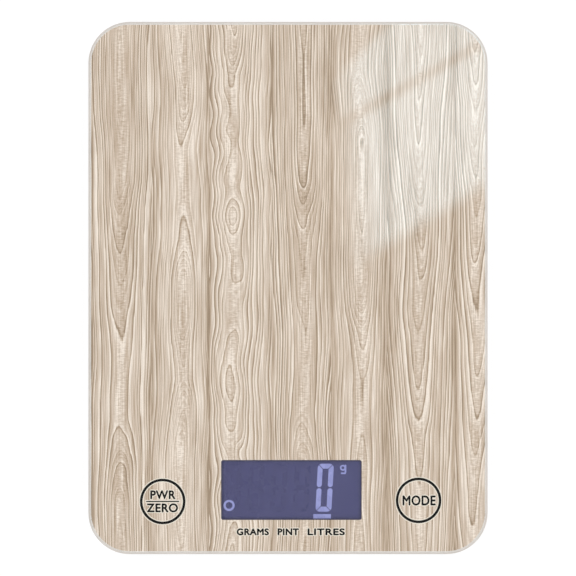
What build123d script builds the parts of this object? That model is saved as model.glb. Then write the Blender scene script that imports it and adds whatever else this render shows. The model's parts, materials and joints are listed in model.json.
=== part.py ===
from build123d import *
import os
from math import cos, pi, radians, sin, sqrt, tan

# A slim glass kitchen scale. A back-printed glass platform is taped onto a shallow moulded frame,
# the frame bears on four strain-gauge load cells, and each cell stands on a rubber-padded foot
# that pokes through the bottom cover. The display, two touch keys and two AAA cells sit inside.
# X points right, Y towards the back, Z up. The origin is the middle of the footprint on the table.

# Glass platform
glass_width = 150.0
glass_length = 200.0
glass_thickness = 4.0
glass_corner_radius = 15.5
glass_edge_radius = 1.0

# Printed film on the back of the glass, with a clear window for the display
film_thickness = 0.2
film_margin = 1.0
window_width = 52.6
window_height = 22.2
window_corner_radius = 0.8
window_offset_x = 1.3

# Foam tape that bonds the glass to the frame
tape_thickness = 0.5
tape_width = 4.0
tape_inset = 0.5
tape_strip_spacing = 88.0

# Upper frame, an inverted tray with drafted sides
frame_overhang = 4.0
frame_draft = 10.0
frame_plate = 1.2
frame_wall = 2.6
frame_rim_radius = 1.0
rib_thickness = 1.2
rib_depth = 3.0
rib_lane_x = 18.0

# Bottom cover, let into a rebate in the rim of the frame
standing_height = 1.0
cover_thickness = 1.8
cover_ledge = 0.8
cover_gap = 0.2
cover_screw_inset = 6.0
cover_boss_radius = 3.0

# Screws: head radius, head height, shank radius and shank length
screw_play = 0.05
screw_slot = 0.5
screw_slot_depth = 0.5
cover_screw_head_radius = 2.2
cover_screw_head_height = 1.0
cover_screw_shank_radius = 1.1
cover_screw_length = 7.0
small_screw_head_radius = 1.9
small_screw_head_height = 1.2
small_screw_shank_radius = 0.9
board_screw_length = 4.2
foot_screw_length = 4.0

# AAA cells and their bay
battery_diameter = 10.5
battery_length = 44.5
battery_nub_diameter = 3.8
battery_nub_height = 0.9
battery_rim_bevel = 0.4
battery_play = 0.15
battery_side_play = 0.4
bay_centre_y = 12.0
bay_wall = 1.2
contact_thickness = 0.4
contact_width = 8.4
contact_height = 9.0
contact_tail_width = 2.0
contact_dimple_height = 0.6
contact_dimple_radius = 2.0
battery_spring_length = 4.0
battery_spring_base_radius = 3.9
battery_spring_tip_radius = 2.6
battery_spring_turns = 3
spring_wire = 0.5
spring_wire_sides = 6
spring_play = 0.1

# Battery door, held by two tabs at its front edge and a latch tongue at its back edge
door_gap = 0.3
door_corner_radius = 1.0
door_tab_width = 6.0
door_tab_spacing = 26.0
door_tab_reach = 1.8
door_tab_thickness = 1.0
door_tab_play = 0.15
door_tab_root = 1.4
door_tab_swing = 1.2
latch_width = 12.0
latch_length = 7.0
latch_slit = 0.9
latch_leg_height = 1.3
latch_leg_thickness = 1.0
thumb_recess_radius = 7.0
thumb_recess_depth = 0.9

# Display module
lcd_border = 2.2
lcd_gap = 0.8
lcd_plate = 1.0
lcd_contact_ledge = 2.4
backlight_thickness = 2.4
backlight_led_width = 1.4
backlight_led_length = 3.4
backlight_led_height = 1.1
backlight_led_count = 3
backlight_led_pitch = 6.5
bezel_wall = 1.0
bezel_lip = 0.5
bezel_play = 0.1
bezel_reveal = 0.3
display_clearance = 1.2
contact_strip_width = 1.9
contact_strip_end_gap = 1.5

# Touch keys
key_side_inset = 27.0
key_offset_x = 1.0
key_drop = 4.2
touch_spring_radius = 3.4
touch_spring_turns = 4
touch_spring_clearance = 1.0

# Circuit board
board_thickness = 1.2
board_margin = 2.0
board_tail = 6.4
board_arm_half = 5.0
board_arm_end = 5.5
board_gap = 1.0
board_corner_radius = 1.0
board_boss_radius = 2.3
board_rear_screw_spacing = 32.0
board_arm_screw_back = 8.5
chip_size = 9.0
chip_height = 1.4
chip_leg_reach = 1.2
chip_leg_height = 0.5
amplifier_length = 6.0
amplifier_width = 4.0
amplifier_offset = 15.0

# Load cells, flat steel flexures with a tongue cut free on three sides
cell_size = 24.0
cell_thickness = 1.2
cell_corner_radius = 1.5
cell_border = 3.2
cell_slot = 1.4
cell_waist_radius = 1.1
cell_waist_from_centre = 5.5
cell_seat_height = 2.6
cell_play = 0.2
cell_lip_wall = 1.5
cell_lip_drop = 0.2
cell_wall_clearance = 0.8
cell_rim_inset = 0.6
cell_rim_wall = 1.8
gauge_length = 5.0
gauge_width = 5.0
gauge_from_centre = 3.0
gauge_edge_radius = 0.5

# Feet
foot_radius = 8.0
foot_gap = 0.6
foot_rim = 1.0
foot_boss_radius = 3.2
foot_above_cover = 0.5
pad_thickness = 1.4
pad_recess = 0.8
pad_groove_radius = 4.0
pad_groove_width = 1.0
pad_groove_depth = 0.4
pad_edge_bevel = 0.3

# Leads from the load cells and the batteries to the board
lead_radius = 0.7
battery_lead_radius = 0.6
lead_sides = 8
lead_bend_radius = 4.0
lead_lane_gap = 1.4
lead_lane_pitch = 2.2
lead_merge_y = -36.0
lead_merge_run = 10.0
lead_notch_play = 0.4
socket_width = 8.0
socket_depth = 6.0
socket_height = 2.0
socket_inset = 1.0
socket_pitch = 2.7

# Heights, from the table up
cover_bottom = standing_height
cover_top = cover_bottom + cover_thickness
battery_bottom = cover_top + battery_play
battery_axis = battery_bottom + battery_diameter / 2
plate_bottom = battery_bottom + battery_diameter + battery_play
plate_top = plate_bottom + frame_plate
film_bottom = plate_top + tape_thickness
glass_bottom = film_bottom + film_thickness
glass_top = glass_bottom + glass_thickness
lcd_top = film_bottom - lcd_gap
lcd_bottom = lcd_top - 2 * lcd_plate
board_top = lcd_bottom - backlight_thickness
board_bottom = board_top - board_thickness
socket_bottom = board_bottom - socket_height
lead_height = board_bottom - socket_height / 2
cell_bottom = cover_top + cell_seat_height
cell_top = cell_bottom + cell_thickness
gauge_top = lead_height + lead_radius + gauge_edge_radius
foot_bottom = pad_thickness - pad_recess
foot_shoulder = cover_top + foot_above_cover

# Frame outlines, each an even inset from the frame's top edge
frame_width = glass_width - 2 * frame_overhang
frame_length = glass_length - 2 * frame_overhang
frame_corner_radius = glass_corner_radius - frame_overhang
draft_ratio = tan(radians(frame_draft))
base_inset = (plate_top - cover_bottom) * draft_ratio
cavity_roof_inset = frame_plate * draft_ratio + frame_wall
cavity_floor_inset = (plate_top - cover_top) * draft_ratio + frame_wall
rebate_inset = cavity_floor_inset - cover_ledge
cover_inset = rebate_inset + cover_gap
rim_radius = min(frame_rim_radius, 0.8 * (rebate_inset - base_inset))
cavity_half_width = frame_width / 2 - cavity_floor_inset
cavity_half_length = frame_length / 2 - cavity_floor_inset

# Places in plan
lcd_width = window_width + 2 * lcd_border
lcd_height = window_height + 2 * lcd_border
bezel_width = lcd_width + 2 * (bezel_play + bezel_wall)
bezel_height = lcd_height + 2 * (bezel_play + bezel_wall)
tape_inner_inset = tape_inset + tape_width
window_y = tape_inner_inset + display_clearance + bezel_height / 2 - frame_length / 2
bezel_rear = window_y + bezel_height / 2
key_y = window_y - key_drop
key_spacing = glass_width - 2 * key_side_inset
key_places = [(key_offset_x - key_spacing / 2, key_y), (key_offset_x + key_spacing / 2, key_y)]
cell_half = cell_size / 2
cell_rim_outer = cell_half - cell_rim_inset
cell_rim_inner = cell_rim_outer - cell_rim_wall
cell_lip_inner = cell_half + cell_play
cell_lip_outer = cell_lip_inner + cell_lip_wall
cell_x = cavity_half_width - cell_wall_clearance - cell_lip_outer
cell_y = -(key_y + board_arm_half + board_gap + cell_rim_outer)
foot_hole_radius = foot_radius + foot_gap
cell_ledge_half = foot_hole_radius + foot_gap
corners = {
    "front_left": (-1, -1),
    "front_right": (1, -1),
    "rear_left": (-1, 1),
    "rear_right": (1, 1),
}
cover_screw_x = cavity_half_width - cover_screw_inset
cover_screw_y = cavity_half_length - cover_screw_inset
cover_screw_places = [(sx * cover_screw_x, sy * cover_screw_y) for sx in (-1, 1) for sy in (-1, 0, 1)]
board_half_width = bezel_width / 2 + board_margin
board_rear = bezel_rear + board_tail
board_front = window_y - bezel_height / 2
board_screw_places = [
    (window_offset_x - board_rear_screw_spacing / 2, board_rear - board_tail / 2),
    (window_offset_x + board_rear_screw_spacing / 2, board_rear - board_tail / 2),
    (key_places[0][0] + board_arm_screw_back, key_y),
    (key_places[1][0] - board_arm_screw_back, key_y),
]
bay_ends = battery_spring_length + contact_dimple_height + 2 * (contact_thickness + spring_play)
bay_length = battery_length + bay_ends
bay_width = 2 * battery_diameter + 3 * battery_side_play
bay_front = bay_centre_y - bay_width / 2
bay_rear = bay_centre_y + bay_width / 2
battery_pitch = battery_diameter + battery_side_play
front_battery_y = bay_centre_y - battery_pitch / 2
rear_battery_y = bay_centre_y + battery_pitch / 2
bay_outer_x = bay_length / 2 + bay_wall
socket_y = -cell_y
socket_x = board_half_width - socket_inset - socket_width / 2
socket_rear = socket_y + socket_depth / 2


def body_outline(inset):
    """The frame's rounded rectangle, drawn in by an even inset."""
    RectangleRounded(frame_width - 2 * inset, frame_length - 2 * inset, frame_corner_radius - inset)


def facing_down(height):
    """A plane at a height whose normal points at the table."""
    return Plane(origin=(0, 0, height), x_dir=(1, 0, 0), z_dir=(0, 0, -1))


def finish_piece(piece, name):
    """Labels a finished piece and writes it to its own file."""
    piece.part.label = name
    export_step(piece.part, f"parts/{name}.step")


def coil_points(plane, start_radius, end_radius, height, turns):
    """Points and tangents of a cone-shaped coil about a plane's normal, one for each half turn."""
    halves = 2 * turns
    total = 2 * pi * turns
    growth = (end_radius - start_radius) / total
    places, headings = [], []
    for half in range(halves + 1):
        angle = half * pi
        radius = start_radius + growth * angle
        place = Vector(radius * cos(angle), radius * sin(angle), height * half / halves)
        heading = Vector(
            growth * cos(angle) - radius * sin(angle),
            growth * sin(angle) + radius * cos(angle),
            height / total,
        ).normalized()
        places.append(plane.from_local_coords(place))
        headings.append(plane.from_local_coords(heading) - plane.origin)
    return places, headings


def coil_wire(plane, start_radius, end_radius, height, turns):
    """The coil's centre line as pairs of tangent arcs, one pair for each half turn."""
    places, headings = coil_points(plane, start_radius, end_radius, height, turns)
    arcs = []
    for begin, end, heading, last in zip(places, places[1:], headings, headings[1:]):
        chord = end - begin
        both = heading + last
        spread = 2 * (1 - heading.dot(last))
        reach = (sqrt(chord.dot(both) ** 2 + spread * chord.dot(chord)) - chord.dot(both)) / spread
        middle = (begin + end + (heading - last) * reach) * 0.5
        turn = (chord - both * reach).normalized()
        arcs.append(Edge.make_tangent_arc(begin, heading, middle))
        arcs.append(Edge.make_tangent_arc(middle, turn, end))
    return Wire(arcs)


def coil_gap(start_radius, end_radius, height, turns):
    """The least gap between one turn of a coil and the next, measured wire to wire."""
    places = coil_points(Plane.XY, start_radius, end_radius, height, turns)[0]
    return min((after - before).length for before, after in zip(places, places[2:])) - spring_wire


def add_coil(plane, start_radius, end_radius, height, turns):
    """Sweeps wire along a coil inside the active part, with a few flats in place of its round section."""
    path = coil_wire(plane, start_radius, end_radius, height, turns)
    with BuildSketch(Plane(origin=path @ 0, z_dir=path % 0)) as section:
        RegularPolygon(spring_wire / 2, spring_wire_sides)
    sweep(section.sketch, path=path)


def cut_cross_slot(plane, head_radius):
    """Cuts the cross recess of a screw head into the top of the plane."""
    with BuildSketch(plane) as cross:
        Rectangle(1.3 * head_radius, screw_slot)
        Rectangle(screw_slot, 1.3 * head_radius)
    extrude(cross.sketch, amount=-screw_slot_depth, mode=Mode.SUBTRACT)


def add_screw(place, seat, up, head_radius, head_height, shank_radius, length):
    """A screw whose head sits on a face at height seat, its shank pointing up (1) or down (-1)."""
    with BuildSketch(Plane(origin=(*place, seat), x_dir=(1, 0, 0), z_dir=(0, 0, -up))) as head:
        Circle(head_radius)
    extrude(head.sketch, amount=head_height)
    with BuildSketch(Plane(origin=(*place, seat), x_dir=(1, 0, 0), z_dir=(0, 0, up))) as shank:
        Circle(shank_radius)
    extrude(shank.sketch, amount=length)
    head_top = (*place, seat - up * head_height)
    cut_cross_slot(Plane(origin=head_top, x_dir=(1, 0, 0), z_dir=(0, 0, -up)), head_radius)


def add_lead(points, radius):
    """A lead along straight runs and tangent bends, with a few flats in place of its round section."""
    with BuildLine() as route:
        if len(points) == 2:
            Line(*points)
        else:
            FilletPolyline(*points, radius=lead_bend_radius)
    path = route.wires()[0]
    with BuildSketch(Plane(origin=path @ 0, z_dir=path % 0)) as section:
        RegularPolygon(radius, lead_sides)
    sweep(section.sketch, path=path)


os.makedirs("parts", exist_ok=True)

# Glass platform with a polished edge
with BuildPart() as glass_platform:
    with BuildSketch(Plane.XY.offset(glass_bottom)):
        RectangleRounded(glass_width, glass_length, glass_corner_radius)
    extrude(amount=glass_thickness)
    fillet(glass_platform.edges().filter_by(Plane.XY), radius=glass_edge_radius)
finish_piece(glass_platform, "glass_platform")

# Printed film, with the display window cut out
with BuildPart() as print_film:
    with BuildSketch(Plane.XY.offset(film_bottom)):
        RectangleRounded(
            glass_width - 2 * film_margin, glass_length - 2 * film_margin, glass_corner_radius - film_margin
        )
        with Locations((window_offset_x, window_y)):
            RectangleRounded(window_width, window_height, window_corner_radius, mode=Mode.SUBTRACT)
    extrude(amount=film_thickness)
finish_piece(print_film, "print_film")

# Foam tape: a ring round the frame and two strips across its middle
with BuildPart() as bond_tape:
    with BuildSketch(Plane.XY.offset(plate_top)):
        body_outline(tape_inset)
        with BuildSketch(mode=Mode.SUBTRACT):
            body_outline(tape_inner_inset)
        with GridLocations(0, tape_strip_spacing, 1, 2):
            Rectangle(frame_width - 2 * tape_inner_inset - 2 * tape_width, tape_width)
    extrude(amount=tape_thickness)
finish_piece(bond_tape, "bond_tape")

# Upper frame: drafted tray, open downwards, with everything moulded on below its plate
with BuildPart() as upper_frame:
    with BuildSketch(facing_down(plate_top)):
        body_outline(0)
    extrude(amount=plate_top - cover_bottom, taper=frame_draft)
    fillet(upper_frame.faces().sort_by(Axis.Z)[0].edges(), radius=rim_radius)
    with BuildSketch(Plane.XY.offset(cover_bottom)):
        body_outline(rebate_inset)
    extrude(amount=cover_thickness, mode=Mode.SUBTRACT)
    with BuildSketch(facing_down(plate_bottom)):
        body_outline(cavity_roof_inset)
    extrude(amount=plate_bottom - cover_top, taper=frame_draft, mode=Mode.SUBTRACT)
    # Stiffening ribs under the plate, clear of the board
    with BuildSketch(Plane.XY.offset(plate_bottom)):
        with Locations((0, bay_front - cell_size), (0, bay_rear + cell_size / 2), (0, cell_y)):
            Rectangle(frame_width - 2 * cavity_roof_inset, rib_thickness)
        rib_run = frame_length / 2 - cavity_roof_inset - bay_rear
        with Locations((-rib_lane_x, bay_rear + rib_run / 2), (rib_lane_x, bay_rear + rib_run / 2)):
            Rectangle(rib_thickness, rib_run)
    extrude(amount=-rib_depth)
    # Square rims that bear on the load cells
    with BuildSketch(Plane.XY.offset(cell_top)):
        with GridLocations(2 * cell_x, 2 * cell_y, 2, 2):
            Rectangle(2 * cell_rim_outer, 2 * cell_rim_outer)
    extrude(amount=plate_bottom - cell_top)
    with BuildSketch(Plane.XY.offset(cell_top)):
        with GridLocations(2 * cell_x, 2 * cell_y, 2, 2):
            Rectangle(2 * cell_rim_inner, 2 * cell_rim_inner)
    extrude(amount=plate_bottom - cell_top, mode=Mode.SUBTRACT)
    # Notches in the rims where the leads come out towards the middle
    with BuildSketch(Plane.XY.offset(cell_top)):
        notch_x = cell_x - (cell_rim_inner + cell_rim_outer) / 2
        with GridLocations(2 * notch_x, 2 * cell_y, 2, 2):
            Rectangle(2 * cell_rim_wall, 2 * (lead_radius + lead_notch_play))
    extrude(amount=lead_height + lead_radius + lead_notch_play - cell_top, mode=Mode.SUBTRACT)
    # Bosses for the cover screws and the board screws
    with BuildSketch(Plane.XY.offset(cover_top)):
        with Locations(*cover_screw_places):
            Circle(cover_boss_radius)
    extrude(amount=plate_bottom - cover_top)
    with BuildSketch(Plane.XY.offset(board_top)):
        with Locations(*board_screw_places):
            Circle(board_boss_radius)
    extrude(amount=plate_bottom - board_top)
    # Battery bay with a short rib between the two cells
    with BuildSketch(Plane.XY.offset(cover_top)):
        with Locations((0, bay_centre_y)):
            Rectangle(bay_length + 2 * bay_wall, bay_width + 2 * bay_wall)
            Rectangle(bay_length, bay_width, mode=Mode.SUBTRACT)
    extrude(amount=plate_bottom - cover_top)
    with BuildSketch(Plane.XY.offset(plate_bottom)):
        with Locations((0, bay_centre_y)):
            Rectangle(bay_length - 4 * battery_spring_length, bay_wall)
    extrude(amount=-bay_wall)
    # Slots in the bay: two for the contact tails, two for the door's tabs
    with BuildSketch(Plane.XY.offset(battery_axis)):
        with Locations((-bay_outer_x, front_battery_y), (-bay_outer_x, rear_battery_y)):
            Rectangle(2 * bay_wall, contact_tail_width + 2 * lead_notch_play)
    extrude(amount=contact_thickness + lead_notch_play, both=True, mode=Mode.SUBTRACT)
    with BuildSketch(Plane.XY.offset(cover_top)):
        with GridLocations(door_tab_spacing, 0, 2, 1):
            with Locations((0, bay_front - bay_wall)):
                Rectangle(door_tab_width + 2 * door_gap, 2 * door_tab_reach)
    extrude(amount=door_tab_play + door_tab_thickness + door_tab_swing, mode=Mode.SUBTRACT)
    # Openings in the plate for the display and the touch springs
    with BuildSketch(Plane.XY.offset(plate_bottom)):
        with Locations((window_offset_x, window_y)):
            Rectangle(bezel_width + 2 * bezel_reveal, bezel_height + 2 * bezel_reveal)
        with Locations(*key_places):
            Circle(touch_spring_radius + touch_spring_clearance)
    extrude(amount=frame_plate, mode=Mode.SUBTRACT)
    # Pilot holes in the bosses
    with BuildSketch(Plane.XY.offset(cover_top)):
        with Locations(*cover_screw_places):
            Circle(cover_screw_shank_radius + screw_play)
    extrude(amount=cover_screw_length, mode=Mode.SUBTRACT)
    with BuildSketch(Plane.XY.offset(board_top)):
        with Locations(*board_screw_places):
            Circle(small_screw_shank_radius + screw_play)
    extrude(amount=board_screw_length - board_thickness + 2 * screw_play, mode=Mode.SUBTRACT)
finish_piece(upper_frame, "upper_frame")

# Bottom cover: plate, load-cell seats, foot holes, battery opening, screw recesses
with BuildPart() as bottom_cover:
    with BuildSketch(Plane.XY.offset(cover_bottom)):
        body_outline(cover_inset)
    extrude(amount=cover_thickness)
    with BuildSketch(Plane.XY.offset(cover_top)):
        with GridLocations(2 * cell_x, 2 * cell_y, 2, 2):
            Rectangle(2 * cell_lip_outer, 2 * cell_lip_outer)
    extrude(amount=cell_seat_height + cell_thickness - cell_lip_drop)
    with BuildSketch(Plane.XY.offset(cell_bottom)):
        with GridLocations(2 * cell_x, 2 * cell_y, 2, 2):
            Rectangle(2 * cell_lip_inner, 2 * cell_lip_inner)
    extrude(amount=cell_thickness, mode=Mode.SUBTRACT)
    with BuildSketch(Plane.XY.offset(cover_top)):
        with GridLocations(2 * cell_x, 2 * cell_y, 2, 2):
            Circle(cell_ledge_half)
    extrude(amount=cell_seat_height, mode=Mode.SUBTRACT)
    with BuildSketch(Plane.XY.offset(cover_bottom)):
        with GridLocations(2 * cell_x, 2 * cell_y, 2, 2):
            Circle(foot_hole_radius)
        with Locations((0, bay_centre_y)):
            Rectangle(bay_length, bay_width)
    extrude(amount=cover_thickness, mode=Mode.SUBTRACT)
    with Locations(facing_down(cover_bottom)):
        with Locations(*[(x, -y) for x, y in cover_screw_places]):
            CounterBoreHole(
                radius=cover_screw_shank_radius + cover_gap,
                counter_bore_radius=cover_screw_head_radius + cover_gap,
                counter_bore_depth=cover_screw_head_height + screw_play,
                depth=cover_thickness,
            )
    # Thumb recess beside the latch
    with BuildSketch(Plane.XY.offset(cover_bottom)):
        with Locations((0, bay_rear)):
            Circle(thumb_recess_radius)
    extrude(amount=thumb_recess_depth, mode=Mode.SUBTRACT)
finish_piece(bottom_cover, "bottom_cover")

with BuildPart() as cover_screws:
    for place in cover_screw_places:
        add_screw(
            place,
            cover_bottom + cover_screw_head_height + screw_play,
            1,
            cover_screw_head_radius,
            cover_screw_head_height,
            cover_screw_shank_radius,
            cover_screw_length,
        )
finish_piece(cover_screws, "cover_screws")

# Battery door: flush plate, two tabs over the cover's edge, and a latch tongue slit on both sides
with BuildPart() as battery_door:
    with BuildSketch(Plane.XY.offset(cover_bottom)):
        with Locations((0, bay_centre_y)):
            RectangleRounded(bay_length - 2 * door_gap, bay_width - 2 * door_gap, door_corner_radius)
    extrude(amount=cover_thickness)
    with BuildSketch(Plane.XY.offset(cover_top)):
        with GridLocations(door_tab_spacing, 0, 2, 1):
            with Locations((0, bay_front + door_gap)):
                Rectangle(door_tab_width, door_tab_root, align=(Align.CENTER, Align.MIN))
    extrude(amount=door_tab_play + door_tab_thickness)
    with BuildSketch(Plane.XY.offset(cover_top + door_tab_play)):
        with GridLocations(door_tab_spacing, 0, 2, 1):
            with Locations((0, bay_front + door_gap)):
                Rectangle(door_tab_width, door_tab_reach, align=(Align.CENTER, Align.MAX))
    extrude(amount=door_tab_thickness)
    latch_edge = bay_rear - door_gap
    with BuildSketch(Plane.XY.offset(cover_bottom)):
        with GridLocations(latch_width + latch_slit, 0, 2, 1):
            with Locations((0, latch_edge)):
                Rectangle(latch_slit, latch_length, align=(Align.CENTER, Align.MAX))
    extrude(amount=cover_thickness, mode=Mode.SUBTRACT)
    with BuildSketch(Plane.XY.offset(cover_top)):
        with Locations((0, latch_edge)):
            Rectangle(latch_width, latch_leg_thickness, align=(Align.CENTER, Align.MAX))
    extrude(amount=latch_leg_height)
    # Grip ridges across the latch tongue
    with BuildSketch(Plane.XY.offset(cover_bottom)):
        with Locations((0, latch_edge - latch_length / 2)):
            with GridLocations(0, 2 * latch_slit, 1, 3):
                Rectangle(latch_width - 2 * latch_slit, latch_slit)
    extrude(amount=screw_slot_depth, mode=Mode.SUBTRACT)
finish_piece(battery_door, "battery_door")

# AAA cells, lying side by side and facing opposite ways
nub_tip_x = -bay_length / 2 + contact_thickness + contact_dimple_height + spring_play
battery_can = battery_length - battery_nub_height
for name, y, way in (("battery_front", front_battery_y, 1), ("battery_rear", rear_battery_y, -1)):
    with BuildPart() as battery:
        tip = (way * nub_tip_x, y, battery_axis)
        with BuildSketch(Plane(origin=tip, x_dir=(0, 1, 0), z_dir=(way, 0, 0))):
            Circle(battery_nub_diameter / 2)
        extrude(amount=battery_nub_height)
        shoulder = (way * (nub_tip_x + battery_nub_height), y, battery_axis)
        with BuildSketch(Plane(origin=shoulder, x_dir=(0, 1, 0), z_dir=(way, 0, 0))):
            Circle(battery_diameter / 2)
        extrude(amount=battery_can)
        rims = battery.edges().filter_by(GeomType.CIRCLE).group_by(SortBy.RADIUS)[-1]
        chamfer(rims, length=battery_rim_bevel)
    finish_piece(battery, name)


def add_contact_plate(x, y, way, width):
    """A contact plate standing against an end wall of the bay, its thickness along way."""
    with BuildSketch(Plane(origin=(x, y, battery_axis), x_dir=(0, 1, 0), z_dir=(way, 0, 0))) as plate:
        RectangleRounded(width, contact_height, contact_thickness)
    extrude(plate.sketch, amount=contact_thickness)


def add_contact_dimple(x, y, way):
    """The raised dimple that meets a cell's nub."""
    foot_of_dimple = (x + way * contact_thickness, y, battery_axis)
    with BuildSketch(Plane(origin=foot_of_dimple, x_dir=(0, 1, 0), z_dir=(way, 0, 0))) as dimple:
        Circle(contact_dimple_radius)
    extrude(dimple.sketch, amount=contact_dimple_height, taper=frame_draft)


def add_contact_tail(x, y, reach):
    """The solder tail that passes out through the bay wall."""
    with BuildSketch(Plane.XY.offset(battery_axis)) as tail:
        with Locations((x, y)):
            Rectangle(reach, contact_tail_width, align=(Align.MAX, Align.CENTER))
    extrude(tail.sketch, amount=contact_thickness / 2, both=True)


# Battery contacts: a plate and tail for each lead, and a link across the far end
bay_end = bay_length / 2
front_lane_x = bay_outer_x + lead_lane_gap
rear_lane_x = front_lane_x + lead_lane_pitch
with BuildPart() as contact_positive:
    add_contact_plate(-bay_end, front_battery_y, 1, contact_width)
    add_contact_dimple(-bay_end, front_battery_y, 1)
    add_contact_tail(-bay_end, front_battery_y, front_lane_x + battery_lead_radius - bay_end)
finish_piece(contact_positive, "contact_positive")
with BuildPart() as contact_negative:
    add_contact_plate(-bay_end, rear_battery_y, 1, contact_width)
    add_contact_tail(-bay_end, rear_battery_y, rear_lane_x + battery_lead_radius - bay_end)
finish_piece(contact_negative, "contact_negative")
with BuildPart() as contact_link:
    add_contact_plate(bay_end, bay_centre_y, -1, battery_pitch + contact_width)
    add_contact_dimple(bay_end, rear_battery_y, -1)
finish_piece(contact_link, "contact_link")

# Coil springs at the negative ends of the cells
battery_coil_height = battery_spring_length - spring_wire - spring_play
with BuildPart() as battery_springs:
    for x, y, way in ((bay_end, front_battery_y, -1), (-bay_end, rear_battery_y, 1)):
        base = (x + way * (contact_thickness + spring_play + spring_wire / 2), y, battery_axis)
        add_coil(
            Plane(origin=base, x_dir=(0, 1, 0), z_dir=(way, 0, 0)),
            battery_spring_base_radius,
            battery_spring_tip_radius,
            battery_coil_height,
            battery_spring_turns,
        )
finish_piece(battery_springs, "battery_springs")
print(
    "battery spring gap",
    coil_gap(
        battery_spring_base_radius, battery_spring_tip_radius, battery_coil_height, battery_spring_turns
    ),
)

# Circuit board: a block behind the display and an arm out to each touch key
with BuildPart() as main_board:
    with BuildSketch(Plane.XY.offset(board_bottom)) as board_plan:
        with Locations((window_offset_x, board_front)):
            Rectangle(2 * board_half_width, board_rear - board_front, align=(Align.CENTER, Align.MIN))
        with Locations((key_offset_x, key_y)):
            Rectangle(key_spacing + 2 * board_arm_end, 2 * board_arm_half)
        fillet(board_plan.vertices(), radius=board_corner_radius)
    extrude(amount=board_thickness)
    with BuildSketch(Plane.XY.offset(board_bottom)):
        with Locations(*board_screw_places):
            Circle(small_screw_shank_radius + 2 * screw_play)
    extrude(amount=board_thickness, mode=Mode.SUBTRACT)
finish_piece(main_board, "main_board")

with BuildPart() as board_screws:
    for place in board_screw_places:
        add_screw(
            place,
            board_bottom,
            1,
            small_screw_head_radius,
            small_screw_head_height,
            small_screw_shank_radius,
            board_screw_length,
        )
finish_piece(board_screws, "board_screws")

# Chips under the board: the controller with its legs, and the load-cell amplifier
with BuildPart() as board_chips:
    with BuildSketch(facing_down(board_bottom)):
        with Locations((window_offset_x, -window_y)):
            Rectangle(chip_size, chip_size)
        with Locations((window_offset_x + amplifier_offset, -window_y)):
            Rectangle(amplifier_length, amplifier_width)
    extrude(amount=chip_height)
    with BuildSketch(facing_down(board_bottom)):
        with Locations((window_offset_x, -window_y)):
            with PolarLocations(chip_size / 2 + chip_leg_reach / 2, 4):
                with GridLocations(0, chip_leg_reach, 1, 6):
                    Rectangle(chip_leg_reach, chip_leg_reach / 2)
        with Locations((window_offset_x + amplifier_offset, -window_y)):
            with GridLocations(chip_leg_reach, amplifier_width + chip_leg_reach, 4, 2):
                Rectangle(chip_leg_reach / 2, chip_leg_reach)
    extrude(amount=chip_leg_height)
finish_piece(board_chips, "board_chips")

# Sockets under the board that take the leads
with BuildPart() as lead_sockets:
    with BuildSketch(Plane.XY.offset(socket_bottom)):
        with Locations((window_offset_x - socket_x, socket_y), (window_offset_x + socket_x, socket_y)):
            Rectangle(socket_width, socket_depth)
    extrude(amount=socket_height)
finish_piece(lead_sockets, "lead_sockets")

# Display: two glass plates, the upper one overhanging to show its contacts
with BuildPart() as display_glass:
    with BuildSketch(Plane.XY.offset(lcd_top - lcd_plate)):
        with Locations((window_offset_x, window_y)):
            Rectangle(lcd_width, lcd_height)
    extrude(amount=lcd_plate)
    with BuildSketch(Plane.XY.offset(lcd_bottom)):
        with Locations((window_offset_x, window_y)):
            Rectangle(lcd_width, lcd_height - 2 * lcd_contact_ledge)
    extrude(amount=lcd_plate)
finish_piece(display_glass, "display_glass")

# Light guide behind the display, with room at both ends for its lamps
guide_width = lcd_width - 2 * (backlight_led_width + 2 * bezel_play)
led_row_spacing = guide_width + backlight_led_width + 2 * bezel_play
with BuildPart() as display_backlight:
    with BuildSketch(Plane.XY.offset(board_top)):
        with Locations((window_offset_x, window_y)):
            Rectangle(guide_width, lcd_height - 2 * lcd_contact_ledge)
    extrude(amount=backlight_thickness)
finish_piece(display_backlight, "display_backlight")

with BuildPart() as backlight_leds:
    with BuildSketch(Plane.XY.offset(board_top)):
        with Locations((window_offset_x, window_y)):
            with GridLocations(led_row_spacing, backlight_led_pitch, 2, backlight_led_count):
                Rectangle(backlight_led_width, backlight_led_length)
    extrude(amount=backlight_led_height)
finish_piece(backlight_leds, "backlight_leds")

# Rubber contact strips between the board and the overhanging display plate
with BuildPart() as display_contacts:
    with BuildSketch(Plane.XY.offset(board_top)):
        with Locations((window_offset_x, window_y)):
            with GridLocations(0, lcd_height - lcd_contact_ledge, 1, 2):
                Rectangle(lcd_width - 2 * contact_strip_end_gap, contact_strip_width)
    extrude(amount=lcd_top - lcd_plate - board_top)
finish_piece(display_contacts, "display_contacts")

# Bezel: a wall round the display and a lip over its edge
with BuildPart() as display_bezel:
    with BuildSketch(Plane.XY.offset(board_top)):
        with Locations((window_offset_x, window_y)):
            Rectangle(bezel_width, bezel_height)
            Rectangle(lcd_width + 2 * bezel_play, lcd_height + 2 * bezel_play, mode=Mode.SUBTRACT)
    extrude(amount=lcd_top - board_top)
    with BuildSketch(Plane.XY.offset(lcd_top)):
        with Locations((window_offset_x, window_y)):
            Rectangle(bezel_width, bezel_height)
            Rectangle(window_width + 2 * bezel_reveal, window_height + 2 * bezel_reveal, mode=Mode.SUBTRACT)
    extrude(amount=bezel_lip)
finish_piece(display_bezel, "display_bezel")

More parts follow.
